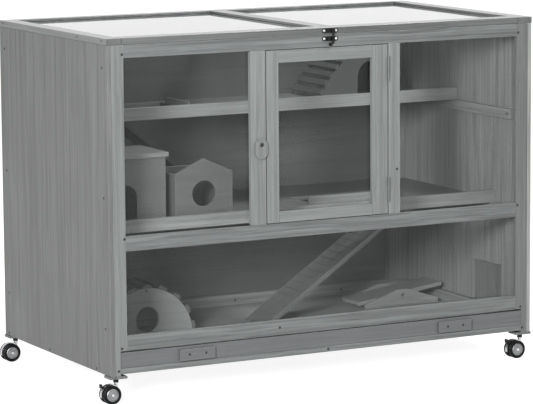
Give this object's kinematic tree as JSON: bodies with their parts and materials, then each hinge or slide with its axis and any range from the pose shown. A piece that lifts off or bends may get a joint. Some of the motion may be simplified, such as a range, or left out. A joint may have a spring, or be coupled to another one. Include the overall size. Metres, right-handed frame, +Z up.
{
  "type": "small-animal cage on casters",
  "caption": "Timber-framed hamster cage on casters with clear windows, front door, lift-up lid, pull-out floor tray, ramps, houses and a seesaw.",
  "frame": {"origin": "on the floor, under the middle of the cabinet's footprint", "axes": "+X to the right seen from the front, +Y to the back, +Z up; wheels stand on Z = 0"},
  "size_m": [1.1885, 0.6407, 0.8523],
  "materials": {
    "side_paint": "grey-washed board, upright grain, satin",
    "front_paint": "grey-washed timber, grain showing, satin",
    "inside_paint": "grey-washed board, grain showing, satin",
    "clear_acrylic": "clear polished sheet",
    "bright_steel": "zinc-plated, satin",
    "hinge_paint": "painted over in the cabinet's grey",
    "black_metal": "black lacquered, semi-gloss",
    "screw_metal": "dulled",
    "tray_paint": "grey-washed timber, grain showing, satin",
    "caster_metal": "bright plated",
    "wheel_black": "black, slightly worn"
  },
  "bodies": {
    "cabinet": {"side_panel_left": "side_paint", "side_panel_right": "side_paint", "back_panel": "side_paint", "front_post_left": "front_paint", "front_post_right": "front_paint", "front_rails": "front_paint", "door_jambs": "front_paint", "back_posts": "inside_paint", "base_rails": "inside_paint", "tray_runners": "inside_paint", "windows_upper": "clear_acrylic", "window_lower": "clear_acrylic", "hatch_packer": "side_paint", "mid_floor": "inside_paint", "mid_floor_lip": "inside_paint", "mid_floor_supports": "inside_paint", "upper_shelf": "inside_paint", "shelf_lip": "inside_paint", "shelf_cleats": "inside_paint", "ramp_lower": "inside_paint", "ramp_upper": "inside_paint", "house_a": "inside_paint", "house_a_roof": "inside_paint", "house_b": "inside_paint", "house_c": "inside_paint", "house_c_treads": "inside_paint", "hut_ends": "inside_paint", "hut_slats": "inside_paint", "seesaw_base": "inside_paint", "seesaw_axle": "bright_steel", "fixed_hinges": "hinge_paint", "latch_keeper": "black_metal", "caster_blocks": "side_paint", "caster_stems": "black_metal", "frame_screws": "screw_metal"},
    "door": {"door_frame": "front_paint", "door_pane": "clear_acrylic", "door_hinges": "hinge_paint"},
    "door_button": {"turn_button": "front_paint"},
    "lid": {"lid_frame": "front_paint", "lid_panels": "clear_acrylic", "lid_hardware": "black_metal"},
    "hook": {"latch_hook": "black_metal"},
    "tray": {"tray_board": "inside_paint", "tray_front": "tray_paint", "tray_grips": "tray_paint"},
    "seesaw": {"seesaw_plank": "inside_paint"},
    "hatch": {"hatch_door": "side_paint", "hatch_hinges": "hinge_paint"},
    "hatch_turn": {"hatch_button": "side_paint"},
    "swivel_fl": {"caster_fork_fl": "caster_metal"},
    "wheels_fl": {"caster_wheels_fl": "wheel_black"},
    "swivel_fr": {"caster_fork_fr": "caster_metal"},
    "wheels_fr": {"caster_wheels_fr": "wheel_black"},
    "swivel_bl": {"caster_fork_bl": "caster_metal"},
    "wheels_bl": {"caster_wheels_bl": "wheel_black"},
    "swivel_br": {"caster_fork_br": "caster_metal"},
    "wheels_br": {"caster_wheels_br": "wheel_black"},
    "brake_lever_fl": {"brake_fl": "black_metal"},
    "brake_lever_fr": {"brake_fr": "black_metal"}
  },
  "joints": [
    {"name": "door_hinge", "type": "hinge", "parent": "cabinet", "child": "door", "pos_m": [0.16765, -0.3163, 0.6], "axis": [0, 0, 1], "range_deg": [0, 110]},
    {"name": "door_button_turn", "type": "hinge", "parent": "cabinet", "child": "door_button", "pos_m": [-0.1799, -0.3168, 0.584], "axis": [0, 1, 0], "range_deg": [-90, 90]},
    {"name": "lid_hinge", "type": "hinge", "parent": "cabinet", "child": "lid", "pos_m": [0, 0.3164, 0.837], "axis": [-1, 0, 0], "range_deg": [0, 100]},
    {"name": "latch_hook_swing", "type": "hinge", "parent": "lid", "child": "hook", "pos_m": [0.015, -0.3177, 0.8445], "axis": [0, -1, 0], "range_deg": [0, 75]},
    {"name": "tray_slide", "type": "slide", "parent": "cabinet", "child": "tray", "axis": [0, -1, 0], "range_m": [0, 0.5]},
    {"name": "seesaw_tilt", "type": "hinge", "parent": "cabinet", "child": "seesaw", "pos_m": [0.422, 0.1065, 0.1175], "axis": [0, 1, 0], "range_deg": [-3.5, 18.9]},
    {"name": "hatch_hinge", "type": "hinge", "parent": "cabinet", "child": "hatch", "pos_m": [0.5782, -0.0483, 0.165], "axis": [0, 0, 1], "range_deg": [0, 110]},
    {"name": "hatch_button_turn", "type": "hinge", "parent": "cabinet", "child": "hatch_turn", "pos_m": [0.5836, -0.2395, 0.19], "axis": [1, 0, 0], "range_deg": [-90, 90]},
    {"name": "swivel_turn_fl", "type": "hinge", "parent": "cabinet", "child": "swivel_fl", "pos_m": [-0.556, -0.2962, 0.04], "axis": [0, 0, 1], "continuous": true},
    {"name": "wheel_spin_fl", "type": "hinge", "parent": "swivel_fl", "child": "wheels_fl", "pos_m": [-0.571, -0.2962, 0.0225], "axis": [0, 1, 0], "continuous": true},
    {"name": "brake_press_fl", "type": "hinge", "parent": "swivel_fl", "child": "brake_lever_fl", "pos_m": [-0.582, -0.2962, 0.0395], "axis": [0, -1, 0], "range_deg": [0, 8]},
    {"name": "swivel_turn_fr", "type": "hinge", "parent": "cabinet", "child": "swivel_fr", "pos_m": [0.556, -0.2962, 0.04], "axis": [0, 0, 1], "continuous": true},
    {"name": "wheel_spin_fr", "type": "hinge", "parent": "swivel_fr", "child": "wheels_fr", "pos_m": [0.541, -0.2962, 0.0225], "axis": [0, 1, 0], "continuous": true},
    {"name": "brake_press_fr", "type": "hinge", "parent": "swivel_fr", "child": "brake_lever_fr", "pos_m": [0.53, -0.2962, 0.0395], "axis": [0, -1, 0], "range_deg": [0, 8]},
    {"name": "swivel_turn_bl", "type": "hinge", "parent": "cabinet", "child": "swivel_bl", "pos_m": [-0.556, 0.2962, 0.04], "axis": [0, 0, 1], "continuous": true},
    {"name": "wheel_spin_bl", "type": "hinge", "parent": "swivel_bl", "child": "wheels_bl", "pos_m": [-0.571, 0.2962, 0.0225], "axis": [0, 1, 0], "continuous": true},
    {"name": "swivel_turn_br", "type": "hinge", "parent": "cabinet", "child": "swivel_br", "pos_m": [0.556, 0.2962, 0.04], "axis": [0, 0, 1], "continuous": true},
    {"name": "wheel_spin_br", "type": "hinge", "parent": "swivel_br", "child": "wheels_br", "pos_m": [0.541, 0.2962, 0.0225], "axis": [0, 1, 0], "continuous": true}
  ]
}
